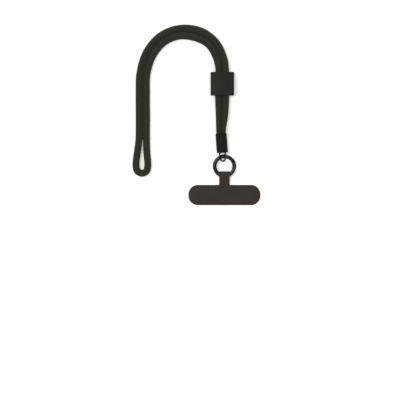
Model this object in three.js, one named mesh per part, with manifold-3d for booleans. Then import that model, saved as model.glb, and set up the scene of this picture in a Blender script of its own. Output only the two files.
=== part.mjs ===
// Wrist strap for a phone, lying flat: a doubled round rope with a sliding block, its two ends
// crimped into a metal ferrule, a wire eye, a small spring gate ring and a folded anchor tab.
// Millimetres, +Z up. The origin is the centre of the tab's back face, which lies on the table,
// and the strap runs along +Y. Rotations of the three.js groups are in radians.
import * as THREE from 'three';
import { mergeVertices } from 'three/addons/utils/BufferGeometryUtils.js';
import Module from 'manifold-3d';

const wasm = await Module();
wasm.setup();

const degrees = Math.PI / 180;

// Anchor tab: one sheet folded over the ring and bonded to itself
const tab_length = 60.4;
const tab_width = 17.0;
const tab_end_flat = 1.2;
const sheet_thickness = 0.5;
const neck_width = 8.8;
const neck_fillet_radius = 0.6;

// Ring: round bar bent to a circle, with a gate in its side
const ring_radius = 8.2;
const ring_bar_radius = 1.65;
const gate_start_angle = 40;
const gate_end_angle = 110;
const gate_nose_gap = 0.25;
const gate_nose_spread = 20;
const hinge_ear_radius = 1.7;
const hinge_slot_half_height = 0.65;
const hinge_slot_radius = 1.95;
const hinge_tongue_half_height = 0.4;
const hinge_tongue_radius = 1.3;
const pin_radius = 0.45;
const pin_half_length = 1.42;
const pin_clearance = 0.14;
const spring_pocket_radius = 0.8;
const spring_pocket_depth = 4.4;
const spring_wire_radius = 0.14;
const spring_coil_radius = 0.48;
const spring_turns = 5;

// Clearance between the ring's bar and what loops around it
const loop_clearance = 0.25;

// Wire eye, seen along the strap its two legs stand apart in width and in height
const eye_wire_radius = 0.65;
const eye_half_width = 2.35;
const eye_half_height = 3.3;
const eye_foot_half_height = 1.4;
const eye_drop = 3.2;
const eye_turn_drop = 3.4;
const eye_depth = 3.6;

// Ferrule
const ferrule_radius = 4.75;
const ferrule_bore_radius = 4.35;
const ferrule_length = 16.1;
const ferrule_end_wall = 1.2;
const ferrule_edge_radius = 0.6;
const ferrule_lean = 4.2;
const ferrule_end_x = -1.74;
const ferrule_end_y = 35.4;
const eye_hole_clearance = 0.2;

// Rope
const rope_diameter = 5.9;
const rope_sides = 12;
const rope_steps_per_span = 2;
const run_gap = 0.25;
const squeeze_end_y = 116;
const squeeze_fade = 5;

// Sliding block
const slider_width = 19.8;
const slider_length = 19.5;
const slider_thickness = 10.0;
const slider_edge = 0.5;
const slider_x = -1.8;
const slider_y = 93.1;
const slot_clearance = 0.45;
const run_spacing = 5.8;

// Route of the rope's centre line, from one end in the ferrule round to the other end.
const rope_route = [
  [-4.1, 40.2, 4.75],
  [-4.95, 54.0, 4.75],
  [-4.72, 66.0, 4.8],
  [-4.92, 80.0, 4.95],
  [-4.9, 97.0, 5.0],
  [-4.95, 107.0, 4.6],
  [-6.95, 115.2, 3.8],
  [-12.9, 125.6, 3.15],
  [-23.8, 131.6, 3.1],
  [-37.5, 133.3, 3.1],
  [-49.95, 128.5, 3.1],
  [-59.6, 117.5, 3.1],
  [-64.75, 102.5, 3.1],
  [-65.45, 84.0, 3.1],
  [-65.3, 65.0, 3.1],
  [-65.4, 46.0, 3.1],
  [-65.1, 36.0, 3.1],
  [-64.25, 27.0, 3.1],
  [-64.3, 23.4, 3.1],
  [-65.0, 20.8, 3.1],
  [-66.7, 18.95, 3.1],
  [-69.15, 18.3, 3.1],
  [-71.6, 18.95, 3.1],
  [-73.35, 20.8, 3.1],
  [-74.05, 23.4, 3.1],
  [-74.15, 27.0, 3.1],
  [-73.0, 36.0, 3.1],
  [-71.75, 46.0, 3.1],
  [-71.5, 65.0, 3.1],
  [-71.55, 84.0, 3.1],
  [-70.8, 102.5, 3.1],
  [-65.5, 119.7, 3.1],
  [-54.1, 133.2, 3.1],
  [-38.2, 139.6, 3.1],
  [-20.3, 137.8, 3.1],
  [-7.2, 128.3, 3.15],
  [-0.4, 114.4, 3.8],
  [0.9, 105.5, 4.65],
  [1.0, 97.0, 5.0],
  [1.0, 80.0, 4.95],
  [0.48, 66.0, 4.8],
  [-0.8, 54.0, 4.75],
  [-0.1, 40.2, 4.75],
];

// Colours as three.js materials
function finish(color, roughness, metalness) {
  return new THREE.MeshStandardMaterial({ color, roughness, metalness });
}

const rope_finish = finish(0x2b2a27, 0.9, 0);
const block_finish = finish(0x24231f, 0.5, 0);
const crimp_finish = finish(0x1c1b18, 0.35, 0.8);
const ring_finish = finish(0x2c2b28, 0.3, 0.9);
const steel_finish = finish(0x6d6c69, 0.35, 1);
const tab_finish = finish(0x35322e, 0.75, 0);

// Solids: a closed geometry becomes a manifold solid and comes back as a geometry
function to_solid(geometry) {
  const bare = geometry.clone();
  bare.deleteAttribute('normal');
  bare.deleteAttribute('uv');
  const merged = mergeVertices(bare, 1e-4);
  const corners = [];
  for (let i = 0; i < merged.index.count; i += 3) {
    const [a, b, c] = [0, 1, 2].map((k) => merged.index.getX(i + k));
    if (a !== b && b !== c && c !== a) {
      corners.push(a, b, c);
    }
  }
  return new wasm.Manifold(new wasm.Mesh({
    numProp: 3,
    vertProperties: new Float32Array(merged.attributes.position.array),
    triVerts: new Uint32Array(corners),
  }));
}

function to_geometry(solid) {
  const mesh = solid.getMesh();
  const geometry = new THREE.BufferGeometry();
  geometry.setAttribute('position', new THREE.BufferAttribute(new Float32Array(mesh.vertProperties), 3));
  geometry.setIndex(new THREE.BufferAttribute(new Uint32Array(mesh.triVerts), 1));
  geometry.computeVertexNormals();
  return geometry;
}

// A cylinder along Z, centred on a point
function upright_cylinder(radius, height, x, y, z, sides = 32) {
  return new THREE.CylinderGeometry(radius, radius, height, sides)
    .rotateX(Math.PI / 2)
    .translate(x, y, z);
}

function part(name, geometry, material) {
  const mesh = new THREE.Mesh(geometry, material);
  mesh.name = name;
  return mesh;
}

// A route whose sampling follows its own points, so that tight bends get more steps
class PointedRoute extends THREE.CatmullRomCurve3 {
  getPointAt(share, target) {
    return this.getPoint(share, target);
  }

  getTangentAt(share, target) {
    return this.getTangent(share, target);
  }
}

function round_section(radius, sides) {
  const section = new THREE.Shape();
  for (let i = 0; i < sides; i += 1) {
    const angle = ((i + 0.5) / sides) * 2 * Math.PI;
    const x = radius * Math.cos(angle);
    const y = radius * Math.sin(angle);
    if (i === 0) {
      section.moveTo(x, y);
    } else {
      section.lineTo(x, y);
    }
  }
  section.closePath();
  return section;
}

function tube_along(route, radius, sides, steps) {
  return new THREE.ExtrudeGeometry(round_section(radius, sides), {
    steps,
    bevelEnabled: false,
    extrudePath: route,
  });
}

// Rope: from the block down to the ferrule its two runs close in on each other, so their
// sections narrow from round to what fits side by side with a small gap
function wrist_cord() {
  const points = rope_route.map((point) => new THREE.Vector3(...point));
  const route = new PointedRoute(points, false, 'centripetal');
  const steps = rope_steps_per_span * (points.length - 1);
  const geometry = tube_along(route, rope_diameter / 2, rope_sides, steps);
  const ends = [points.slice(0, 8), points.slice(-8).reverse()];
  const run_x = (run, y) => {
    const after = Math.max(run.findIndex((point) => point.y > y), 1);
    const a = run[after - 1];
    const b = run[after];
    return a.x + ((b.x - a.x) * (y - a.y)) / (b.y - a.y);
  };
  const place = geometry.attributes.position;
  for (let i = 0; i < place.count; i += 1) {
    const x = place.getX(i);
    const y = place.getY(i);
    if (y < squeeze_end_y && x > slider_x - slider_width / 2) {
      const [left, right] = ends.map((run) => run_x(run, y));
      const centre = x < (left + right) / 2 ? left : right;
      const share = Math.min((right - left - run_gap) / rope_diameter, 1);
      const hold = Math.min((squeeze_end_y - y) / squeeze_fade, 1);
      place.setX(i, centre + (x - centre) * (1 - (1 - share) * hold));
    }
  }
  geometry.computeVertexNormals();
  return part('wrist_cord', geometry, rope_finish);
}

// Sliding block with one oval slot for both runs of the rope
function slider() {
  const half_width = slider_width / 2 - slider_edge;
  const half_thickness = slider_thickness / 2 - slider_edge;
  const outline = new THREE.Shape();
  outline.moveTo(-half_width, -half_thickness);
  outline.lineTo(half_width, -half_thickness);
  outline.lineTo(half_width, half_thickness);
  outline.lineTo(-half_width, half_thickness);
  outline.closePath();
  const body = new THREE.ExtrudeGeometry(outline, {
    depth: slider_length - 2 * slider_edge,
    steps: 1,
    bevelEnabled: true,
    bevelThickness: slider_edge,
    bevelSize: slider_edge,
    bevelSegments: 1,
  });
  const slot_radius = rope_diameter / 2 + slot_clearance;
  const half_spacing = run_spacing / 2;
  const slot = new THREE.Shape();
  slot.absarc(half_spacing, 0, slot_radius, -Math.PI / 2, Math.PI / 2, false);
  slot.absarc(-half_spacing, 0, slot_radius, Math.PI / 2, 1.5 * Math.PI, false);
  slot.closePath();
  const cutter = new THREE.ExtrudeGeometry(slot, {
    depth: slider_length + 2,
    bevelEnabled: false,
    curveSegments: 14,
  });
  cutter.translate(0, 0, -1 - slider_edge);
  const block = to_geometry(to_solid(body).subtract(to_solid(cutter)));
  block.translate(0, 0, slider_edge - slider_length / 2);
  block.rotateX(-Math.PI / 2);
  const mesh = part('slider', block, block_finish);
  mesh.position.set(slider_x, slider_y, slider_thickness / 2);
  return mesh;
}

// Ferrule: a drawn cup whose closed end has two holes for the eye's legs. The local Y axis
// runs along the strap from the closed end at zero.
function ferrule() {
  const outer = ferrule_radius;
  const edge = ferrule_edge_radius;
  const profile = new THREE.Path();
  profile.moveTo(0, 0);
  profile.lineTo(outer - edge, 0);
  profile.absarc(outer - edge, edge, edge, -Math.PI / 2, 0, false);
  profile.lineTo(outer, ferrule_length);
  profile.lineTo(ferrule_bore_radius, ferrule_length);
  profile.lineTo(ferrule_bore_radius, ferrule_end_wall);
  profile.lineTo(0, ferrule_end_wall);
  const cup = new THREE.LatheGeometry(profile.getPoints(5), 48);
  let solid = to_solid(cup);
  for (const side of [-1, 1]) {
    const hole = new THREE.CylinderGeometry(
      eye_wire_radius + eye_hole_clearance,
      eye_wire_radius + eye_hole_clearance,
      ferrule_end_wall * 4,
      16,
    );
    hole.translate(side * eye_half_width, 0, -side * eye_foot_half_height);
    solid = solid.subtract(to_solid(hole));
  }
  return part('ferrule', to_geometry(solid), crimp_finish);
}

// Wire eye: legs come out of the ferrule's end, spread in height to pass over and under the
// ring's bar, and join in a half turn inside the ring. The wire's ends lie in the ferrule.
function wire_eye() {
  const points = [];
  const inside_y = ferrule_end_wall + 1.4;
  points.push(new THREE.Vector3(-0.7, inside_y, eye_foot_half_height * 0.4));
  points.push(new THREE.Vector3(-1.9, inside_y - 0.2, eye_foot_half_height * 0.9));
  points.push(new THREE.Vector3(-eye_half_width, ferrule_end_wall, eye_foot_half_height));
  points.push(new THREE.Vector3(-eye_half_width, 0, eye_foot_half_height));
  points.push(new THREE.Vector3(-eye_half_width, -1.2, (eye_foot_half_height + eye_half_height) / 2));
  const turn_steps = 10;
  for (let i = 0; i <= turn_steps; i += 1) {
    const angle = (i / turn_steps) * Math.PI;
    points.push(new THREE.Vector3(
      -eye_half_width * Math.cos(angle),
      -eye_turn_drop - eye_depth * Math.sin(angle),
      eye_half_height * Math.cos(angle),
    ));
  }
  const mirrored = points.slice(0, 5).reverse();
  for (const point of mirrored) {
    points.push(new THREE.Vector3(-point.x, point.y, -point.z));
  }
  const route = new PointedRoute(points, false, 'centripetal');
  const geometry = tube_along(route, eye_wire_radius, 10, 2 * (points.length - 1));
  return part('wire_eye', geometry, steel_finish);
}

// Ring: angles are clockwise from the strap's side, seen from above, in the ring's own plane
function ring_point(angle, radius = ring_radius) {
  return [radius * Math.sin(angle * degrees), radius * Math.cos(angle * degrees)];
}

function full_ring() {
  return to_solid(new THREE.TorusGeometry(ring_radius, ring_bar_radius, 18, 84));
}

// A thick wedge of the ring's plane between two angles
function wedge(start, end) {
  const reach = ring_radius * 2;
  const outline = new THREE.Shape();
  outline.moveTo(0, 0);
  const steps = 8;
  for (let i = 0; i <= steps; i += 1) {
    outline.lineTo(...ring_point(start + ((end - start) * i) / steps, reach));
  }
  outline.closePath();
  const block = new THREE.ExtrudeGeometry(outline, { depth: ring_bar_radius * 4, bevelEnabled: false });
  block.translate(0, 0, -ring_bar_radius * 2);
  return to_solid(block);
}

const [hinge_x, hinge_y] = ring_point(gate_start_angle);
const [nose_x, nose_y] = ring_point(gate_end_angle);
const nose_reach = Math.hypot(nose_x - hinge_x, nose_y - hinge_y);

// The room of the gate: its nose ends on a circle about the hinge, so that it can swing inward
function gate_room(gap) {
  const swing = upright_cylinder(nose_reach + gap, ring_bar_radius * 4, hinge_x, hinge_y, 0, 128);
  return wedge(gate_start_angle, gate_end_angle + gate_nose_spread).intersect(to_solid(swing));
}

function spring_direction() {
  const pocket_end_angle = gate_start_angle - (spring_pocket_depth / ring_radius) / degrees;
  const [x, y] = ring_point(pocket_end_angle);
  return new THREE.Vector3(x - hinge_x, y - hinge_y, 0).normalize();
}

function ring_body() {
  const tall = ring_bar_radius * 4;
  let solid = full_ring().subtract(gate_room(gate_nose_gap));
  const ears = full_ring().intersect(to_solid(upright_cylinder(hinge_ear_radius, tall, hinge_x, hinge_y, 0)));
  solid = solid.add(ears);
  const slot = upright_cylinder(hinge_slot_radius, 2 * hinge_slot_half_height, hinge_x, hinge_y, 0);
  solid = solid.subtract(to_solid(slot));
  const pin_hole = upright_cylinder(pin_radius + pin_clearance, tall, hinge_x, hinge_y, 0, 20);
  solid = solid.subtract(to_solid(pin_hole));
  const direction = spring_direction();
  const pocket = new THREE.CylinderGeometry(spring_pocket_radius, spring_pocket_radius, spring_pocket_depth, 16);
  pocket.translate(0, spring_pocket_depth / 2, 0);
  pocket.rotateZ(Math.atan2(-direction.x, direction.y));
  pocket.translate(hinge_x, hinge_y, 0);
  solid = solid.subtract(to_solid(pocket));
  return part('ring_body', to_geometry(solid), ring_finish);
}

function ring_gate() {
  const tall = ring_bar_radius * 4;
  let solid = full_ring().intersect(gate_room(0));
  solid = solid.subtract(to_solid(upright_cylinder(hinge_slot_radius, tall, hinge_x, hinge_y, 0)));
  const tongue_height = 2 * hinge_tongue_half_height;
  const tongue_disc = to_solid(upright_cylinder(hinge_tongue_radius, tongue_height, hinge_x, hinge_y, 0));
  const reach = hinge_slot_radius + 0.8;
  const [bar_x, bar_y] = ring_point(gate_start_angle + 18);
  const heading = Math.atan2(bar_y - hinge_y, bar_x - hinge_x);
  const bar = new THREE.BoxGeometry(reach, 2 * hinge_tongue_radius * 0.8, tongue_height);
  bar.translate(reach / 2, 0, 0);
  bar.rotateZ(heading);
  bar.translate(hinge_x, hinge_y, 0);
  solid = solid.add(tongue_disc).add(to_solid(bar));
  const pin_hole = upright_cylinder(pin_radius + pin_clearance, tall, hinge_x, hinge_y, 0, 20);
  solid = solid.subtract(to_solid(pin_hole));
  return part('ring_gate', to_geometry(solid), ring_finish);
}

function gate_pin() {
  const pin = upright_cylinder(pin_radius, 2 * pin_half_length, hinge_x, hinge_y, 0, 20);
  return part('gate_pin', pin, steel_finish);
}

// Small coil spring that lies in the ring's pocket and presses on the gate's tongue
function gate_spring() {
  const direction = spring_direction();
  const start = hinge_tongue_radius + loop_clearance + spring_wire_radius;
  const length = spring_pocket_depth - start - spring_wire_radius - 0.1;
  const across = new THREE.Vector3(-direction.y, direction.x, 0);
  const up = new THREE.Vector3(0, 0, 1);
  const steps_per_turn = 10;
  const points = [];
  for (let i = 0; i <= spring_turns * steps_per_turn; i += 1) {
    const angle = (i / steps_per_turn) * 2 * Math.PI;
    const along = start + (length * i) / (spring_turns * steps_per_turn);
    points.push(new THREE.Vector3(hinge_x, hinge_y, 0)
      .addScaledVector(direction, along)
      .addScaledVector(across, spring_coil_radius * Math.cos(angle))
      .addScaledVector(up, spring_coil_radius * Math.sin(angle)));
  }
  const route = new PointedRoute(points, false, 'centripetal');
  const geometry = tube_along(route, spring_wire_radius, 6, points.length - 1);
  return part('gate_spring', geometry, steel_finish);
}

// Tab: the two layers of the folded sheet are bonded, so plate, neck and loop are one solid
const half_neck = neck_width / 2;
const bar_near_side = Math.sqrt((ring_radius - ring_bar_radius) ** 2 - half_neck ** 2);
const bar_far_side = ring_radius + ring_bar_radius;
const loop_inner_radius = (bar_far_side - bar_near_side) / 2 + loop_clearance;
const loop_outer_radius = loop_inner_radius + sheet_thickness;
const plate_thickness = 2 * sheet_thickness;

// The ring hangs between the eye, at the ferrule's height, and the tab's loop on the table
const lean = ferrule_lean * degrees;
const eye_x = ferrule_end_x + eye_drop * Math.sin(lean);
const eye_y = ferrule_end_y - eye_drop * Math.cos(lean);
const eye_turn = Math.asin(eye_x / ring_radius);
const loop_reach = (bar_far_side + bar_near_side) / 2;
const eye_reach = ring_radius * Math.cos(eye_turn);
const ring_tilt = Math.asin((ferrule_radius - loop_outer_radius) / (loop_reach + eye_reach));
const ring_y = eye_y - eye_reach * Math.cos(ring_tilt);
const ring_z = loop_outer_radius + loop_reach * Math.sin(ring_tilt);
const loop_y = ring_y - loop_reach * Math.cos(ring_tilt);

function plate_outline() {
  const half_length = tab_length / 2;
  const half_width = tab_width / 2;
  const corner = (tab_width - tab_end_flat) / 2;
  const fillet = neck_fillet_radius;
  const neck_top = half_width + fillet + 0.6;
  const outline = new THREE.Shape();
  outline.moveTo(-half_length + corner, -half_width);
  outline.absarc(half_length - corner, -half_width + corner, corner, -Math.PI / 2, 0, false);
  outline.absarc(half_length - corner, half_width - corner, corner, 0, Math.PI / 2, false);
  outline.lineTo(half_neck + fillet, half_width);
  outline.absarc(half_neck + fillet, half_width + fillet, fillet, 1.5 * Math.PI, Math.PI, true);
  outline.lineTo(half_neck, neck_top);
  outline.lineTo(-half_neck, neck_top);
  outline.absarc(-half_neck - fillet, half_width + fillet, fillet, 0, -Math.PI / 2, true);
  outline.absarc(-half_length + corner, half_width - corner, corner, Math.PI / 2, Math.PI, false);
  outline.absarc(-half_length + corner, -half_width + corner, corner, Math.PI, 1.5 * Math.PI, false);
  outline.closePath();
  return outline;
}

// Side view of the loop: a round bend around the ring's bar that narrows to the two layers.
// The round part is tangent to the table side's line and to the line from the corner.
function loop_outline(radius, corner_y, corner_z) {
  const centre_z = loop_outer_radius;
  const away = Math.hypot(corner_y - loop_y, corner_z - centre_z);
  const toward = Math.atan2(corner_z - centre_z, corner_y - loop_y) + 2 * Math.PI;
  const last = toward - Math.acos(radius / away);
  const outline = new THREE.Shape();
  outline.moveTo(corner_y, centre_z - radius);
  outline.absarc(loop_y, centre_z, radius, -Math.PI / 2, last, false);
  outline.lineTo(corner_y, corner_z);
  outline.closePath();
  return outline;
}

// Stands a side view up across the neck
function across_neck(outline, width) {
  const block = new THREE.ExtrudeGeometry(outline, { depth: width, bevelEnabled: false, curveSegments: 26 });
  block.rotateX(Math.PI / 2);
  block.rotateZ(Math.PI / 2);
  block.translate(-width / 2, 0, 0);
  return to_solid(block);
}

function anchor_tab() {
  const plate = new THREE.ExtrudeGeometry(plate_outline(), {
    depth: plate_thickness,
    bevelEnabled: false,
    curveSegments: 14,
  });
  const neck_foot_y = tab_width / 2 + 0.2;
  const meeting_y = neck_foot_y + neck_fillet_radius;
  const outside = across_neck(loop_outline(loop_outer_radius, neck_foot_y, plate_thickness), neck_width);
  const inside = across_neck(loop_outline(loop_inner_radius, meeting_y, sheet_thickness + 0.1), neck_width + 2);
  const solid = to_solid(plate).add(outside).subtract(inside);
  return part('anchor_tab', to_geometry(solid), tab_finish);
}

const strap_end = new THREE.Group();
strap_end.position.set(ferrule_end_x, ferrule_end_y, ferrule_radius);
strap_end.rotation.z = lean;
strap_end.add(ferrule(), wire_eye());

const ring = new THREE.Group();
ring.position.set(0, ring_y, ring_z);
ring.rotation.x = ring_tilt;
ring.add(ring_body(), ring_gate(), gate_pin(), gate_spring());

const wrist_strap = new THREE.Group();
wrist_strap.add(wrist_cord(), slider(), strap_end, ring, anchor_tab());

export default wrist_strap;
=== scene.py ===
import math

import bmesh
import bpy
from mathutils import Matrix, Vector
from mathutils.kdtree import KDTree


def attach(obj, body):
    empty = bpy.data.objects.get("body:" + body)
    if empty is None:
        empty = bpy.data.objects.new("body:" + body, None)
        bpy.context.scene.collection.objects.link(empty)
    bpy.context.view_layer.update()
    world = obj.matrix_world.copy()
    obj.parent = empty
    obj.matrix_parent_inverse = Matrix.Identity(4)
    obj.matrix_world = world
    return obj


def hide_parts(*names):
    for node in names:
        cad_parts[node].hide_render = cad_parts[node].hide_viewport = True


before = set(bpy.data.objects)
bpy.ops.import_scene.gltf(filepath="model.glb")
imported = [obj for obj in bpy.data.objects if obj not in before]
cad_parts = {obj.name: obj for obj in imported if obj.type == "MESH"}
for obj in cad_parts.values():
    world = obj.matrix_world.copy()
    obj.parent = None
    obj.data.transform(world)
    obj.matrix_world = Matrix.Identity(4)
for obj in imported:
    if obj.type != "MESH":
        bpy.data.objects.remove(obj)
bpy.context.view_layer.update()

MM = 0.001
WELD = 0.002 * MM
FINE_WELD = 0.0005 * MM

# The picture: its size in pixels, the size of a pixel on the table, and the pixel of the origin
PICTURE_PIXELS = 400
PIXEL = 0.84 * MM
ORIGIN_PIXEL = (224.4, 195.05)
CAMERA_HEIGHT = 1.6
SENSOR = 36.0

# Light and table
WORLD_STRENGTH = 0.8
LIT_PLACE = (-0.03, 0.07, 0)
KEY_PLACE = (-0.42, 0.2, 1.35)
KEY_SIZE = (0.25, 0.25)
KEY_POWER = 5.5
EDGE_PLACE = (-0.05, 1.2, 0.4)
EDGE_SIZE = (1.4, 0.3)
EDGE_POWER = 12.0
TABLE_HALF = 3
TABLE_DROP = 0.05 * MM
PAGE_WHITE = 0.3

# Rope and its braid
ROPE_DIAMETER = 5.9 * MM
ROPE_LENGTH = 0.5095
ROPE_STEP = 0.37 * MM
ROPE_SIDES = 64
BRAID_STRANDS = 10
BRAID_PITCH = 2.0 * MM
BRAID_DEPTH = 0.2 * MM
BRAID_MIDDLE = 0.75
BRAID_LIFT = 0.45
BRAID_SPANS = ROPE_LENGTH / BRAID_PITCH
YARNS_IN_STRAND = 14
YARNS_IN_SPAN = 0.9

# Where the two runs touch, each is flattened and fills the hollow between them. Places nearer
# than SAME_RUN along the rope are on one run.
SAME_RUN = 4 * ROPE_DIAMETER
PRESSED_SPREAD = 0.2
PRESSED_FADE = 0.3
PRESSED_FILL = 1.07
SQUEEZED_GROWTH = 1.03

# The hand loop: below its top the two runs part, and they aren't pressed together
LOOP_TOP_Y = 45.0 * MM
LOOP_SIDE_X = -50.0 * MM
LOOP_PART = 8.0 * MM

# The rope's route, from its one end in the ferrule round to its other end there
ROPE_ROUTE_MM = [
    (-4.1, 40.2, 4.75),
    (-4.95, 54.0, 4.75),
    (-4.72, 66.0, 4.8),
    (-4.92, 80.0, 4.95),
    (-4.9, 97.0, 5.0),
    (-4.95, 107.0, 4.6),
    (-6.95, 115.2, 3.8),
    (-12.9, 125.6, 3.15),
    (-23.8, 131.6, 3.1),
    (-37.5, 133.3, 3.1),
    (-49.95, 128.5, 3.1),
    (-59.6, 117.5, 3.1),
    (-64.75, 102.5, 3.1),
    (-65.45, 84.0, 3.1),
    (-65.3, 65.0, 3.1),
    (-65.4, 46.0, 3.1),
    (-65.1, 36.0, 3.1),
    (-64.25, 27.0, 3.1),
    (-64.3, 23.4, 3.1),
    (-65.0, 20.8, 3.1),
    (-66.7, 18.95, 3.1),
    (-69.15, 18.3, 3.1),
    (-71.6, 18.95, 3.1),
    (-73.35, 20.8, 3.1),
    (-74.05, 23.4, 3.1),
    (-74.15, 27.0, 3.1),
    (-73.0, 36.0, 3.1),
    (-71.75, 46.0, 3.1),
    (-71.5, 65.0, 3.1),
    (-71.55, 84.0, 3.1),
    (-70.8, 102.5, 3.1),
    (-65.5, 119.7, 3.1),
    (-54.1, 133.2, 3.1),
    (-38.2, 139.6, 3.1),
    (-20.3, 137.8, 3.1),
    (-7.2, 128.3, 3.15),
    (-0.4, 114.4, 3.8),
    (0.9, 105.5, 4.65),
    (1.0, 97.0, 5.0),
    (1.0, 80.0, 4.95),
    (0.48, 66.0, 4.8),
    (-0.8, 54.0, 4.75),
    (-0.1, 40.2, 4.75),
]

# Sliding block
SLIDER_WIDTH = 19.8 * MM
SLIDER_LENGTH = 19.5 * MM
SLIDER_THICKNESS = 10.0 * MM
SLIDER_X = -1.8 * MM
SLIDER_Y = 93.1 * MM
SLIDER_CORNER = 0.7 * MM
SLIDER_RIM = 0.35 * MM
RUN_SPACING = 5.8 * MM
SLOT_CLEARANCE = 0.45 * MM
SLOT_RADIUS = ROPE_DIAMETER / 2 + SLOT_CLEARANCE
SLOT_SIDES = 64

# Ferrule and the wire eye in its closed end
FERRULE_RADIUS = 4.75 * MM
FERRULE_BORE = 4.35 * MM
FERRULE_LENGTH = 16.1 * MM
FERRULE_END_WALL = 1.2 * MM
FERRULE_EDGE = 0.6 * MM
FERRULE_LEAN = math.radians(4.2)
FERRULE_END = (-1.74 * MM, 35.4 * MM, FERRULE_RADIUS)
EYE_WIRE = 0.65 * MM
EYE_HALF_WIDTH = 2.35 * MM
EYE_HALF_HEIGHT = 3.3 * MM
EYE_FOOT = 1.4 * MM
EYE_DROP = 3.2 * MM
EYE_TURN_DROP = 3.4 * MM
EYE_DEPTH = 3.6 * MM
EYE_NECK = 1.2 * MM
EYE_STEP = 0.16 * MM
EYE_SIDES = 24

# The ends of the eye's wire inside the ferrule, each as far from its middle and above its end wall
EYE_ROOT = (0.7 * MM, 1.4 * MM)
EYE_ELBOW = (1.9 * MM, 1.2 * MM)

# Ring and gate
RING_RADIUS = 8.2 * MM
RING_BAR = 1.65 * MM
GATE_START = math.radians(40)
GATE_END = math.radians(110)
GATE_NOSE_GAP = 0.25 * MM
GATE_NOSE_SPREAD = math.radians(20)
RING_SIDES = 40
CUT_HEIGHT = 4 * RING_BAR
PIN_RADIUS = 0.45 * MM
PIN_LENGTH = 2.84 * MM
PIN_EDGE = 0.08 * MM
EAR_RADIUS = 1.7 * MM
HINGE_SLOT_HALF = 0.65 * MM
HINGE_SLOT_RADIUS = 1.95 * MM
TONGUE_HALF = 0.4 * MM
TONGUE_RADIUS = 1.3 * MM
TONGUE_ROOT = 0.8 * MM
TONGUE_HEADING = math.radians(18)
ARM_CLEARANCE = 0.02 * MM
LOOP_CLEARANCE = 0.25 * MM

# Anchor tab
TAB_LENGTH = 60.4 * MM
TAB_WIDTH = 17.0 * MM
TAB_END_FLAT = 1.2 * MM
SHEET = 0.5 * MM
NECK_WIDTH = 8.8 * MM
NECK_FILLET = 0.6 * MM
NECK_STUB = 0.6 * MM
TAB_EDGE = 0.2 * MM
LOOP_FOOT = 1.0 * MM
LOOP_FOOT_HEIGHT = 1.45 * SHEET

# Places that follow from the sizes
HALF_NECK = NECK_WIDTH / 2
BAR_NEAR = math.sqrt((RING_RADIUS - RING_BAR) ** 2 - HALF_NECK ** 2)
BAR_FAR = RING_RADIUS + RING_BAR
LOOP_INNER = (BAR_FAR - BAR_NEAR) / 2 + LOOP_CLEARANCE
LOOP_OUTER = LOOP_INNER + SHEET
EYE_X = FERRULE_END[0] + EYE_DROP * math.sin(FERRULE_LEAN)
EYE_Y = FERRULE_END[1] - EYE_DROP * math.cos(FERRULE_LEAN)
EYE_REACH = math.sqrt(RING_RADIUS ** 2 - EYE_X ** 2)
LOOP_REACH = (BAR_FAR + BAR_NEAR) / 2
RING_TILT = math.asin((FERRULE_RADIUS - LOOP_OUTER) / (LOOP_REACH + EYE_REACH))
RING_Y = EYE_Y - EYE_REACH * math.cos(RING_TILT)
RING_Z = LOOP_OUTER + LOOP_REACH * math.sin(RING_TILT)
LOOP_Y = RING_Y - LOOP_REACH * math.cos(RING_TILT)

RING_PLACE = Matrix.Translation((0, RING_Y, RING_Z)) @ Matrix.Rotation(RING_TILT, 4, "X")
STRAP_END_PLACE = Matrix.Translation(FERRULE_END) @ Matrix.Rotation(FERRULE_LEAN, 4, "Z")
SLIDER_PLACE = Matrix.Translation((SLIDER_X, SLIDER_Y, SLIDER_THICKNESS / 2))


# Camera, light and table

def set_camera():
    """Looks straight down at the table, as the picture does."""
    centre_x = (PICTURE_PIXELS / 2 - ORIGIN_PIXEL[0]) * PIXEL
    centre_y = (ORIGIN_PIXEL[1] - PICTURE_PIXELS / 2) * PIXEL
    data = bpy.data.cameras.new("picture_camera")
    data.sensor_width = SENSOR
    data.lens = SENSOR * CAMERA_HEIGHT / (PICTURE_PIXELS * PIXEL)
    data.clip_start = 0.01
    data.clip_end = 20
    camera = bpy.data.objects.new("picture_camera", data)
    camera.location = (centre_x, centre_y, CAMERA_HEIGHT)
    bpy.context.collection.objects.link(camera)
    bpy.context.scene.camera = camera


def add_area_lamp(name, place, size, power):
    """A lamp that faces the middle of the strap."""
    data = bpy.data.lights.new(name, "AREA")
    data.shape = "RECTANGLE"
    data.size, data.size_y = size
    data.energy = power
    lamp = bpy.data.objects.new(name, data)
    lamp.location = place
    aim = Vector(LIT_PLACE) - Vector(place)
    lamp.rotation_euler = aim.to_track_quat("-Z", "Y").to_euler()
    bpy.context.collection.objects.link(lamp)
    return lamp


def set_light():
    scene = bpy.context.scene
    scene.view_settings.view_transform = "Standard"
    world = bpy.data.worlds.new("studio")
    scene.world = world
    world.use_nodes = True
    background = world.node_tree.nodes["Background"]
    background.inputs["Color"].default_value = (1.0, 0.99, 0.975, 1)
    background.inputs["Strength"].default_value = WORLD_STRENGTH
    add_area_lamp("key_lamp", KEY_PLACE, KEY_SIZE, KEY_POWER)

    # A long low lamp beyond the arch shows only as a glint on the upper edges
    edge = add_area_lamp("edge_lamp", EDGE_PLACE, EDGE_SIZE, EDGE_POWER)
    edge.visible_diffuse = False


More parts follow.
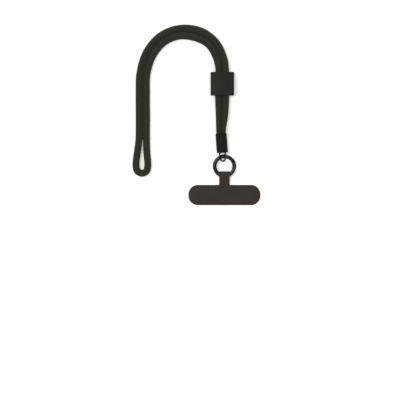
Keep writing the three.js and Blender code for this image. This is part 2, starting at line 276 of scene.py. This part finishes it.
def add_table():
    mesh = bmesh.new()
    bmesh.ops.create_grid(mesh, x_segments=1, y_segments=1, size=TABLE_HALF)
    data = bpy.data.meshes.new("table_top")
    mesh.to_mesh(data)
    mesh.free()
    table = bpy.data.objects.new("table_top", data)
    bpy.context.collection.objects.link(table)
    table.location.z = -TABLE_DROP
    material = bpy.data.materials.new("pale_table")
    material.use_nodes = True
    shader = material.node_tree.nodes["Principled BSDF"]
    shader.inputs["Base Color"].default_value = (0.93, 0.925, 0.915, 1)
    shader.inputs["Roughness"].default_value = 0.9
    shader.inputs["Specular IOR Level"].default_value = 0.1

    # The camera and reflections see the table a little brighter than it is, as a white page
    shader.inputs["Emission Color"].default_value = (1, 1, 1, 1)
    nodes = material.node_tree.nodes
    links = material.node_tree.links
    path = nodes.new("ShaderNodeLightPath")
    seen = path.outputs["Is Camera Ray"]
    for ray in ("Is Glossy Ray", "Is Transmission Ray"):
        either = nodes.new("ShaderNodeMath")
        either.operation = "MAXIMUM"
        links.new(seen, either.inputs[0])
        links.new(path.outputs[ray], either.inputs[1])
        seen = either.outputs[0]
    lift = nodes.new("ShaderNodeMath")
    lift.operation = "MULTIPLY"
    lift.inputs[1].default_value = PAGE_WHITE
    links.new(seen, lift.inputs[0])
    links.new(lift.outputs[0], shader.inputs["Emission Strength"])
    data.materials.append(material)


# Materials

class Finish:
    """A material with a Principled shader and short calls for the nodes that feed it."""

    def __init__(self, name, color, roughness=0.5, metallic=0.0, specular=0.5):
        self.material = bpy.data.materials.new(name)
        self.material.use_nodes = True
        self.nodes = self.material.node_tree.nodes
        self.links = self.material.node_tree.links
        self.shader = self.nodes["Principled BSDF"]
        self.color = color
        self.set("Base Color", (*color, 1))
        self.set("Roughness", roughness)
        self.set("Metallic", metallic)
        self.set("Specular IOR Level", specular)

    def set(self, socket, value):
        self.shader.inputs[socket].default_value = value

    def feed(self, socket, source):
        self.links.new(source, self.shader.inputs[socket])

    def place(self, scale=(1, 1, 1), uv=None):
        """Object coordinates, or the piece's own UV map, through a Mapping node."""
        mapping = self.nodes.new("ShaderNodeMapping")
        mapping.inputs["Scale"].default_value = scale
        if uv is None:
            source = self.nodes.new("ShaderNodeTexCoord").outputs["Object"]
        else:
            uv_node = self.nodes.new("ShaderNodeUVMap")
            uv_node.uv_map = uv
            source = uv_node.outputs["UV"]
        self.links.new(source, mapping.inputs["Vector"])
        return mapping.outputs["Vector"]

    def noise(self, place, scale, detail=3.0, roughness=0.55):
        node = self.nodes.new("ShaderNodeTexNoise")
        node.inputs["Scale"].default_value = scale
        node.inputs["Detail"].default_value = detail
        node.inputs["Roughness"].default_value = roughness
        self.links.new(place, node.inputs["Vector"])
        return node.outputs["Fac"]

    def multiply(self, a, b):
        node = self.nodes.new("ShaderNodeMath")
        node.operation = "MULTIPLY"
        self.links.new(a, node.inputs[0])
        self.links.new(b, node.inputs[1])
        return node.outputs[0]

    def spread(self, source, low, high, from_low=0.3, from_high=0.7):
        """Maps a grey pattern to a range of values."""
        node = self.nodes.new("ShaderNodeMapRange")
        node.inputs["From Min"].default_value = from_low
        node.inputs["From Max"].default_value = from_high
        node.inputs["To Min"].default_value = low
        node.inputs["To Max"].default_value = high
        self.links.new(source, node.inputs["Value"])
        return node.outputs["Result"]

    def shades(self, source, dark, light):
        """Runs the base colour between two multiples of itself."""
        node = self.nodes.new("ShaderNodeMix")
        node.data_type = "RGBA"
        node.inputs[6].default_value = (*[c * dark for c in self.color], 1)
        node.inputs[7].default_value = (*[c * light for c in self.color], 1)
        self.links.new(source, node.inputs[0])
        self.feed("Base Color", node.outputs[2])

    def bump(self, height, depth, strength):
        node = self.nodes.new("ShaderNodeBump")
        node.inputs["Strength"].default_value = strength
        node.inputs["Distance"].default_value = depth
        self.links.new(height, node.inputs["Height"])
        self.feed("Normal", node.outputs["Normal"])


def rope_braid():
    """Matt polyester braid: each strand shows its fine yarns, and painted shade darkens the hollows between
    strands.
    """
    finish = Finish("rope_braid", (0.024, 0.0222, 0.0185), 0.85, specular=0.15)
    finish.set("Sheen Weight", 0.12)
    finish.set("Sheen Roughness", 0.5)
    finish.set("Sheen Tint", (0.8, 0.78, 0.75, 1))
    yarns = (BRAID_STRANDS * YARNS_IN_STRAND, YARNS_IN_SPAN * BRAID_SPANS, 1)
    fibres = finish.noise(finish.place(yarns, uv="braid"), 1.0, 2.0)
    tone = finish.noise(finish.place(uv="braid"), 2.5, 2.0)
    # Painted shade: the braid's height darkens the base colour in the hollows between strands and lightens
    # it on their crowns, on top of a random tone
    height = finish.nodes.new("ShaderNodeAttribute")
    height.attribute_name = "braid_height"
    painted_hollow_shade = finish.spread(height.outputs["Fac"], 0.0, 1.0, 0.25, 1.0)
    hollow_shade_and_tone = finish.multiply(painted_hollow_shade, finish.spread(tone, 0.75, 1.1))
    finish.shades(hollow_shade_and_tone, 0.35, 1.5)
    finish.bump(fibres, 0.05 * MM, 0.6)
    return finish.material


def moulded_block():
    """Injection moulded black plastic with a fine spark-eroded grain."""
    finish = Finish("moulded_block", (0.015, 0.0138, 0.0112), specular=0.1)
    place = finish.place()
    grain = finish.noise(place, 5200, 2.0)
    clouds = finish.noise(place, 160, 3.0)
    finish.feed("Roughness", finish.spread(clouds, 0.38, 0.5))
    finish.shades(clouds, 0.85, 1.2)
    finish.bump(grain, 0.02 * MM, 0.35)
    return finish.material


def coated_ferrule():
    """Black lacquer on drawn metal, slightly worn to a satin."""
    finish = Finish("coated_ferrule", (0.007, 0.0068, 0.0054), specular=0.08)
    place = finish.place()
    drawn = finish.noise(finish.place((1, 0.06, 1)), 2600, 3.0)
    clouds = finish.noise(place, 240, 3.0)
    finish.feed("Roughness", finish.spread(clouds, 0.44, 0.58))
    finish.shades(clouds, 0.8, 1.25)
    finish.bump(drawn, 0.012 * MM, 0.3)
    return finish.material


def plated_ring():
    """Gun-metal plating with soft mottling and tiny polishing marks."""
    finish = Finish("plated_ring", (0.026, 0.0252, 0.023), metallic=1.0)
    place = finish.place()
    mottle = finish.noise(place, 420, 4.0, 0.65)
    finish.shades(finish.spread(mottle, 0.0, 1.0, 0.35, 0.65), 0.35, 1.9)
    finish.feed("Roughness", finish.spread(mottle, 0.2, 0.42))
    finish.bump(finish.noise(place, 2600, 2.0), 0.012 * MM, 0.25)
    return finish.material


def dark_steel():
    """Drawn wire, blackened, with fine marks."""
    finish = Finish("dark_steel", (0.014, 0.0135, 0.0125), metallic=1.0)
    place = finish.place()
    marks = finish.noise(place, 1800, 2.0)
    finish.feed("Roughness", finish.spread(marks, 0.25, 0.42))
    finish.shades(finish.noise(place, 300, 3.0), 0.7, 1.2)
    finish.bump(marks, 0.01 * MM, 0.25)
    return finish.material


def soft_sheet():
    """Matt coated sheet: a fine leather-like grain and a slight cloudiness."""
    finish = Finish("soft_sheet", (0.034, 0.0295, 0.0245), specular=0.1)
    finish.set("Sheen Weight", 0.05)
    place = finish.place()
    grain = finish.noise(place, 2300, 4.0, 0.6)
    clouds = finish.noise(place, 90, 3.0)
    finish.feed("Roughness", finish.spread(grain, 0.62, 0.82))
    finish.shades(clouds, 0.88, 1.12)
    finish.bump(grain, 0.035 * MM, 0.5)
    return finish.material


# Mesh helpers

def make_piece(name, mesh, material, body, replaced=(), sharp_angle=34, weld=WELD):
    """Turns a bmesh into a finished piece on its body, in place of the CAD nodes it stands for."""
    if weld:
        bmesh.ops.remove_doubles(mesh, verts=mesh.verts, dist=weld)
    bmesh.ops.recalc_face_normals(mesh, faces=mesh.faces)
    limit = math.radians(sharp_angle)
    for face in mesh.faces:
        face.smooth = True
    for edge in mesh.edges:
        edge.smooth = not (edge.is_manifold and edge.calc_face_angle() > limit)
    data = bpy.data.meshes.new(name)
    mesh.to_mesh(data)
    mesh.free()
    piece = bpy.data.objects.new(name, data)
    bpy.context.collection.objects.link(piece)
    data.materials.append(material)
    if replaced:
        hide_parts(*replaced)
    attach(piece, body)
    return piece


def centripetal(points):
    """A smooth line through the points, as a function of a share from 0 to 1."""
    line = [Vector(p) for p in points]
    line.insert(0, 2 * line[0] - line[1])
    line.append(2 * line[-1] - line[-2])
    spans = len(points) - 1

    def at(share):
        span = min(int(share * spans), spans - 1)
        t = share * spans - span
        p0, p1, p2, p3 = line[span:span + 4]
        d0, d1, d2 = ((b - a).length ** 0.5 for a, b in ((p0, p1), (p1, p2), (p2, p3)))
        start = ((p1 - p0) / d0 - (p2 - p0) / (d0 + d1) + (p2 - p1) / d1) * d1
        end = ((p2 - p1) / d1 - (p3 - p1) / (d1 + d2) + (p3 - p2) / d2) * d1
        a = 2 * p1 - 2 * p2 + start + end
        b = -3 * p1 + 3 * p2 - 2 * start - end
        return ((a * t + b) * t + start) * t + p1

    return at


def evenly(line, step, samples=6000):
    """Points along a line, one step apart."""
    dense = [line(i / samples) for i in range(samples + 1)]
    walked = [0.0]
    for a, b in zip(dense, dense[1:]):
        walked.append(walked[-1] + (b - a).length)
    count = round(walked[-1] / step)
    places = []
    k = 0
    for i in range(count + 1):
        goal = walked[-1] * i / count
        while k < samples - 1 and walked[k + 1] < goal:
            k += 1
        part = (goal - walked[k]) / max(walked[k + 1] - walked[k], 1e-12)
        places.append(dense[k].lerp(dense[k + 1], min(max(part, 0), 1)))
    return places


def tube(places, sides, section_at, uv_name=None, note=None):
    """A closed tube swept along places. section_at gives a point as (across, above, mark)."""
    mesh = bmesh.new()
    bmesh.ops.create_grid(mesh, x_segments=len(places) - 1, y_segments=sides, size=0.5)
    uv = mesh.loops.layers.uv.new(uv_name) if uv_name else None
    if uv:
        for face in mesh.faces:
            for corner in face.loops:
                corner[uv].uv = (corner.vert.co.y + 0.5, corner.vert.co.x + 0.5)
    last = len(places) - 1
    frames = []
    side = None
    for i, place in enumerate(places):
        ahead = (places[min(i + 1, last)] - places[max(i - 1, 0)]).normalized()
        if side is None:
            side = ahead.cross(Vector((0, 0, 1))).normalized()
        else:
            side = (side - ahead * side.dot(ahead)).normalized()
        frames.append((place, side, side.cross(ahead).normalized()))
    layer = mesh.verts.layers.float.new(note) if note else None
    for vert in mesh.verts:
        i = round((vert.co.x + 0.5) * last)
        turn = vert.co.y + 0.5
        place, side, over = frames[i]
        across, above, mark = section_at(i, turn, side, over)
        vert.co = place + side * across + over * above
        if layer:
            vert[layer] = mark
    bmesh.ops.remove_doubles(mesh, verts=mesh.verts, dist=FINE_WELD)
    rims = [edge for edge in mesh.edges if edge.is_boundary]
    bmesh.ops.holes_fill(mesh, edges=rims, sides=0)
    return mesh


def arc(centre, radius, start, end, steps):
    """Points on an arc as pairs, from one angle to another."""
    return [
        (
            centre[0] + radius * math.cos(start + (end - start) * i / steps),
            centre[1] + radius * math.sin(start + (end - start) * i / steps),
        )
        for i in range(steps + 1)
    ]


def spun(profile, steps=96):
    """Turns a (radius, height) profile round the Y axis."""
    mesh = bmesh.new()
    verts = [mesh.verts.new((radius, height, 0)) for radius, height in profile]
    edges = [mesh.edges.new(pair) for pair in zip(verts, verts[1:])]
    bmesh.ops.spin(
        mesh,
        geom=verts + edges,
        cent=(0, 0, 0),
        axis=(0, 1, 0),
        angle=2 * math.pi,
        steps=steps,
        use_merge=True,
    )
    bmesh.ops.remove_doubles(mesh, verts=mesh.verts, dist=WELD)
    return mesh


def extrude(mesh, face, step):
    """Turns a flat face into a solid by moving a copy of it one step."""
    grown = bmesh.ops.extrude_face_region(mesh, geom=[face])
    moved = [v for v in grown["geom"] if isinstance(v, bmesh.types.BMVert)]
    bmesh.ops.translate(mesh, vec=step, verts=moved)
    bmesh.ops.recalc_face_normals(mesh, faces=mesh.faces)


def upright(radius, height, centre, sides=40):
    """An upright round bar."""
    mesh = bmesh.new()
    bmesh.ops.create_cone(
        mesh, cap_ends=True, segments=sides, radius1=radius, radius2=radius, depth=height
    )
    bmesh.ops.translate(mesh, vec=centre, verts=mesh.verts)
    return mesh


def make_loose(name, mesh):
    """A working object, which a cut uses and then drops."""
    data = bpy.data.meshes.new(name)
    mesh.to_mesh(data)
    mesh.free()
    piece = bpy.data.objects.new(name, data)
    bpy.context.collection.objects.link(piece)
    return piece


def cut(piece, tools, operation="DIFFERENCE"):
    """Cuts the tools out of a piece, or joins or meets them with it, and returns a bmesh."""
    for tool in tools:
        modifier = piece.modifiers.new("cut", "BOOLEAN")
        modifier.operation = operation
        modifier.solver = "EXACT"
        modifier.object = tool
    bpy.context.view_layer.update()
    ready = piece.evaluated_get(bpy.context.evaluated_depsgraph_get())
    mesh = bmesh.new()
    mesh.from_mesh(ready.to_mesh())
    ready.to_mesh_clear()
    for worn in [piece, *tools]:
        data = worn.data
        bpy.data.objects.remove(worn)
        bpy.data.meshes.remove(data)
    bmesh.ops.remove_doubles(mesh, verts=mesh.verts, dist=2 * FINE_WELD)
    return mesh


# Rope

def neighbours(places):
    """For each place, the way to the nearest place of the rope's other run, or None."""
    tree = KDTree(len(places))
    for i, place in enumerate(places):
        tree.insert(place, i)
    tree.balance()
    apart = round(SAME_RUN / ROPE_STEP)
    found = []
    for i, place in enumerate(places):
        near = tree.find_range(place, ROPE_DIAMETER * (1 + PRESSED_FADE))
        others = [entry for entry in near if abs(entry[1] - i) > apart]
        closest = min(others, key=lambda entry: entry[2], default=None)
        found.append(closest[0] - place if closest else None)
    return found


def pressing(place):
    """How firmly the runs are pressed together at a place, from 0 to 1."""
    if place.x > LOOP_SIDE_X:
        return 1.0
    return min(max((place.y - LOOP_TOP_Y) / LOOP_PART, 0), 1)


def pressed(across, above, way, side, over, firmly):
    """Moves a point of the section where the rope is pressed against its other run."""
    if way is None or firmly == 0:
        return across, above
    radius = ROPE_DIAMETER / 2
    half = way.length / 2
    facing = Vector((way.dot(side), way.dot(over))).normalized()
    point = Vector((across, above))
    along = point.dot(facing)
    rest = point - along * facing
    if half < radius:
        along *= half / radius
        rest *= min((radius / half) ** 0.5, SQUEEZED_GROWTH)
    if along > 0:
        loose = (half / radius - 1 - PRESSED_SPREAD) / (PRESSED_FADE - PRESSED_SPREAD)
        spread = PRESSED_SPREAD * (1 - min(max(loose, 0), 1))
        if half < radius:
            spread = PRESSED_FILL - 1
        along *= 1 + firmly * spread * (along / point.length) ** 1.5
    return rest + min(along, half) * facing


def braid_height(turn, along):
    """Height of a one-over-one braid, 0 in the hollows and 1 on the crown of a strand."""
    one = turn * BRAID_STRANDS + along / BRAID_PITCH
    two = turn * BRAID_STRANDS - along / BRAID_PITCH
    p, q = one % 1, two % 1
    if (math.floor(one) + math.floor(two)) % 2:
        p, q = q, p
    across = 1 - (2 * p - 1) ** 2
    return max(across, 0) ** 0.5 * (1 - BRAID_LIFT + BRAID_LIFT * math.sin(math.pi * q))


def add_rope(material):
    route = [tuple(c * MM for c in point) for point in ROPE_ROUTE_MM]
    places = evenly(centripetal(route), ROPE_STEP)
    ways = neighbours(places)
    firmness = [pressing(place) for place in places]

    def section(i, turn, side, over):
        height = braid_height(turn, i * ROPE_STEP)
        radius = ROPE_DIAMETER / 2 + BRAID_DEPTH * (height - BRAID_MIDDLE)
        angle = 2 * math.pi * turn
        across, above = radius * math.cos(angle), radius * math.sin(angle)
        return *pressed(across, above, ways[i], side, over, firmness[i]), height

    mesh = tube(places, ROPE_SIDES, section, uv_name="braid", note="braid_height")
    rope = make_piece("braided_rope", mesh, material, "strap", ("wrist_cord",), 180, 0)


# Sliding block

def slot_tool():
    """A long oval bar that fits round the two runs side by side."""
    mesh = bmesh.new()
    rim = []
    for i in range(SLOT_SIDES):
        angle = 2 * math.pi * (i + 0.5) / SLOT_SIDES
        across = math.copysign(RUN_SPACING / 2, math.cos(angle)) + SLOT_RADIUS * math.cos(angle)
        rim.append(mesh.verts.new((across, -SLIDER_LENGTH, SLOT_RADIUS * math.sin(angle))))
    extrude(mesh, mesh.faces.new(rim), (0, 2 * SLIDER_LENGTH, 0))
    return make_loose("slot_tool", mesh)


def is_slot_rim(edge):
    """True for an edge between an end face of the block and the wall of its slot."""
    if not edge.is_manifold or edge.calc_face_angle() < 1:
        return False
    for vert in edge.verts:
        x, y, z = (abs(value) for value in vert.co)
        if y < SLIDER_LENGTH / 2 - 0.01 * MM:
            return False
        if x > SLIDER_WIDTH / 2 - 2 * SLIDER_CORNER or z > SLIDER_THICKNESS / 2 - 1.2 * SLIDER_CORNER:
            return False
    return True


def add_slider(material):
    mesh = bmesh.new()
    bmesh.ops.create_cube(mesh, size=1)
    bmesh.ops.scale(mesh, vec=(SLIDER_WIDTH, SLIDER_LENGTH, SLIDER_THICKNESS), verts=mesh.verts)
    bmesh.ops.bevel(
        mesh, geom=mesh.edges[:], offset=SLIDER_CORNER, segments=4, profile=0.5, affect="EDGES", material=-1
    )
    mesh = cut(make_loose("block_solid", mesh), [slot_tool()])
    rims = [edge for edge in mesh.edges if is_slot_rim(edge)]
    bmesh.ops.bevel(
        mesh, geom=rims, offset=SLIDER_RIM, segments=3, profile=0.5, affect="EDGES", material=-1
    )
    bmesh.ops.transform(mesh, matrix=SLIDER_PLACE, verts=mesh.verts)
    make_piece("block", mesh, material, "slider", ("slider",), 28)


# Ferrule and wire eye

def add_ferrule(material):
    lip = (FERRULE_RADIUS - FERRULE_BORE) / 2
    lip_centre = (FERRULE_RADIUS - lip, FERRULE_LENGTH - lip)
    profile = [(0, 0)]
    edge_centre = (FERRULE_RADIUS - FERRULE_EDGE, FERRULE_EDGE)
    profile += arc(edge_centre, FERRULE_EDGE, -math.pi / 2, 0, 8)
    profile += arc(lip_centre, lip, 0, math.pi, 10)
    profile += [(FERRULE_BORE, FERRULE_END_WALL), (0, FERRULE_END_WALL)]
    mesh = spun(profile)
    bmesh.ops.transform(mesh, matrix=STRAP_END_PLACE, verts=mesh.verts)
    make_piece("crimped_ferrule", mesh, material, "strap", ("ferrule",))


def add_wire_eye(material):
    """A wire with its two roots inside the ferrule's end, that rises and drops round the ring's bar."""
    leg = [
        (-EYE_ROOT[0], FERRULE_END_WALL + EYE_ROOT[1], 0.4 * EYE_FOOT),
        (-EYE_ELBOW[0], FERRULE_END_WALL + EYE_ELBOW[1], 0.9 * EYE_FOOT),
        (-EYE_HALF_WIDTH, FERRULE_END_WALL, EYE_FOOT),
        (-EYE_HALF_WIDTH, 0, EYE_FOOT),
        (-EYE_HALF_WIDTH, -EYE_NECK, (EYE_FOOT + EYE_HALF_HEIGHT) / 2),
    ]
    turn = []
    for i in range(11):
        angle = math.pi * i / 10
        turn.append((
            -EYE_HALF_WIDTH * math.cos(angle),
            -EYE_TURN_DROP - EYE_DEPTH * math.sin(angle),
            EYE_HALF_HEIGHT * math.cos(angle),
        ))
    back = [(-x, y, -z) for x, y, z in reversed(leg)]
    places = evenly(centripetal(leg + turn + back), EYE_STEP, 2000)

    def section(i, share, side, over):
        angle = 2 * math.pi * share
        return EYE_WIRE * math.cos(angle), EYE_WIRE * math.sin(angle), 0

    mesh = tube(places, EYE_SIDES, section)
    bmesh.ops.transform(mesh, matrix=STRAP_END_PLACE, verts=mesh.verts)
    make_piece("eye_wire", mesh, material, "strap", ("wire_eye",), 60)


# Ring, gate, pin and spring. Angles are clockwise from the strap's side, seen from above.

def ring_point(angle, radius=RING_RADIUS):
    return Vector((radius * math.sin(angle), radius * math.cos(angle), 0))


def ring_arc(start, end):
    """A stretch of the ring's round bar."""
    steps = max(8, round(math.degrees(end - start) / 2.2))
    places = [ring_point(start + (end - start) * i / steps) for i in range(steps + 1)]

    def section(i, share, side, over):
        angle = 2 * math.pi * share
        return RING_BAR * math.cos(angle), RING_BAR * math.sin(angle), 0

    return tube(places, RING_SIDES, section)


def swing_room(gap):
    """The gate's own sector, out to a circle about its hinge and past the gate's nose by a gap."""
    hinge = ring_point(GATE_START)
    sector = bmesh.new()
    angles = [GATE_START + (GATE_END + GATE_NOSE_SPREAD - GATE_START) * i / 12 for i in range(13)]
    outline = [Vector((0, 0, 0))] + [ring_point(angle, 2 * RING_RADIUS) for angle in angles]
    foot = Vector((0, 0, -CUT_HEIGHT / 2))
    face = sector.faces.new([sector.verts.new(point + foot) for point in outline])
    extrude(sector, face, (0, 0, CUT_HEIGHT))
    reach = (ring_point(GATE_END) - hinge).length + gap
    swing = make_loose("swing", upright(reach, CUT_HEIGHT, hinge, 160))
    return make_loose("swing_room", cut(make_loose("sector", sector), [swing], "INTERSECT"))


def add_ring_bar(plating):
    """The open ring, with round ears and a slot for the gate's tongue."""
    hinge = ring_point(GATE_START)
    ears = make_loose("ears", upright(EAR_RADIUS, 2 * CUT_HEIGHT, hinge, 64))
    room = make_loose("room", cut(swing_room(GATE_NOSE_GAP), [ears]))
    bar = ring_arc(GATE_END - GATE_NOSE_SPREAD, 2 * math.pi + GATE_START + GATE_NOSE_SPREAD)
    slot = make_loose("hinge_slot", upright(HINGE_SLOT_RADIUS, 2 * HINGE_SLOT_HALF, hinge))
    mesh = cut(make_loose("bar", bar), [slot, room])
    bmesh.ops.transform(mesh, matrix=RING_PLACE, verts=mesh.verts)
    make_piece("ring_bar", mesh, plating, "ring", ("ring_body",), 40)


def tongue_link(hinge):
    """The flat bar between the tongue and the gate's round arm."""
    mesh = bmesh.new()
    bmesh.ops.create_cube(mesh, size=1)
    length = HINGE_SLOT_RADIUS + TONGUE_ROOT
    bmesh.ops.scale(mesh, vec=(length, 1.6 * TONGUE_RADIUS, 2 * TONGUE_HALF), verts=mesh.verts)
    bmesh.ops.translate(mesh, vec=(length / 2, 0, 0), verts=mesh.verts)
    heading = ring_point(GATE_START + TONGUE_HEADING) - hinge
    turn = Matrix.Rotation(math.atan2(heading.y, heading.x), 4, "Z")
    bmesh.ops.transform(mesh, matrix=Matrix.Translation(hinge) @ turn, verts=mesh.verts)
    return make_loose("link", mesh)


def add_gate(plating):
    hinge = ring_point(GATE_START)
    arm = make_loose("arm", ring_arc(GATE_START, GATE_END + GATE_NOSE_SPREAD))
    arm = make_loose("arm_blank", cut(arm, [swing_room(0)], "INTERSECT"))
    clear = make_loose("hinge_clear", upright(HINGE_SLOT_RADIUS + ARM_CLEARANCE, CUT_HEIGHT, hinge))
    arm = make_loose("arm_cut", cut(arm, [clear]))
    tongue = make_loose("tongue", upright(TONGUE_RADIUS, 2 * TONGUE_HALF, hinge))
    mesh = cut(arm, [tongue, tongue_link(hinge)], "UNION")
    bmesh.ops.transform(mesh, matrix=RING_PLACE, verts=mesh.verts)
    make_piece("gate_arm", mesh, plating, "gate", ("ring_gate",), 40)


def add_hinge_pin(material):
    mesh = upright(PIN_RADIUS, PIN_LENGTH, ring_point(GATE_START), 32)
    bmesh.ops.bevel(
        mesh,
        geom=[edge for edge in mesh.edges if edge.calc_face_angle() > 1],
        offset=PIN_EDGE,
        segments=2,
        profile=0.5,
        affect="EDGES",
        material=-1,
    )
    bmesh.ops.transform(mesh, matrix=RING_PLACE, verts=mesh.verts)
    make_piece("hinge_pin", mesh, material, "ring", ("gate_pin",))


# Anchor tab

def tab_outline():
    """The plate with its rounded ends and the stub of its neck, as (x, y) pairs."""
    half_x = TAB_LENGTH / 2
    half_y = TAB_WIDTH / 2
    corner = (TAB_WIDTH - TAB_END_FLAT) / 2
    fillet_x = HALF_NECK + NECK_FILLET
    fillet_y = half_y + NECK_FILLET
    quarter = math.pi / 2
    outline = arc((half_x - corner, corner - half_y), corner, -quarter, 0, 18)
    outline += arc((half_x - corner, half_y - corner), corner, 0, quarter, 18)
    outline += arc((fillet_x, fillet_y), NECK_FILLET, 3 * quarter, 2 * quarter, 8)
    outline += [(HALF_NECK, fillet_y + NECK_STUB), (-HALF_NECK, fillet_y + NECK_STUB)]
    outline += arc((-fillet_x, fillet_y), NECK_FILLET, 0, -quarter, 8)
    outline += arc((corner - half_x, half_y - corner), corner, quarter, 2 * quarter, 18)
    outline += arc((corner - half_x, corner - half_y), corner, 2 * quarter, 3 * quarter, 18)
    return outline


def add_tab_plate(material):
    mesh = bmesh.new()
    face = mesh.faces.new([mesh.verts.new((x, y, 0)) for x, y in tab_outline()])
    extrude(mesh, face, (0, 0, 2 * SHEET))
    rims = [edge for edge in mesh.edges if abs(edge.verts[0].co.z - edge.verts[1].co.z) < 0.01 * MM]
    bmesh.ops.bevel(
        mesh, geom=rims, offset=TAB_EDGE, segments=3, profile=0.5, affect="EDGES", material=-1
    )
    make_piece("tab_plate", mesh, material, "tab", ("anchor_tab",))


def add_tab_loop(material):
    """The folded strip: up from the plate, round the ring's bar and back underneath."""
    middle = (LOOP_INNER + LOOP_OUTER) / 2
    foot_y = TAB_WIDTH / 2 - LOOP_FOOT
    rise = LOOP_FOOT_HEIGHT - LOOP_OUTER
    toward = math.atan2(rise, foot_y - LOOP_Y) + 2 * math.pi
    last = toward - math.acos(middle / math.hypot(foot_y - LOOP_Y, rise))
    line = [(foot_y, LOOP_FOOT_HEIGHT)]
    line += arc((LOOP_Y, LOOP_OUTER), middle, last, -math.pi / 2, 44)
    line += [(foot_y, SHEET / 2)]
    mesh = bmesh.new()
    left = [mesh.verts.new((-HALF_NECK, y, z)) for y, z in line]
    for a, b in zip(left, left[1:]):
        mesh.edges.new((a, b))
    grown = bmesh.ops.extrude_edge_only(mesh, edges=mesh.edges[:])
    moved = [v for v in grown["geom"] if isinstance(v, bmesh.types.BMVert)]
    bmesh.ops.translate(mesh, vec=(NECK_WIDTH, 0, 0), verts=moved)
    bmesh.ops.recalc_face_normals(mesh, faces=mesh.faces)
    bmesh.ops.solidify(mesh, geom=mesh.faces[:] + mesh.edges[:] + mesh.verts[:], thickness=SHEET)
    make_piece("tab_loop", mesh, material, "tab")


set_camera()
set_light()
add_table()
plating = plated_ring()
steel = dark_steel()
sheet = soft_sheet()
add_rope(rope_braid())
add_slider(moulded_block())
add_ferrule(coated_ferrule())
add_wire_eye(steel)
add_ring_bar(plating)
add_gate(plating)
add_hinge_pin(steel)
add_tab_plate(sheet)
add_tab_loop(sheet)

# The spring stays as it is in the frame, in the scene's own steel
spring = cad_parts["gate_spring"].data
spring.materials.clear()
spring.materials.append(steel)
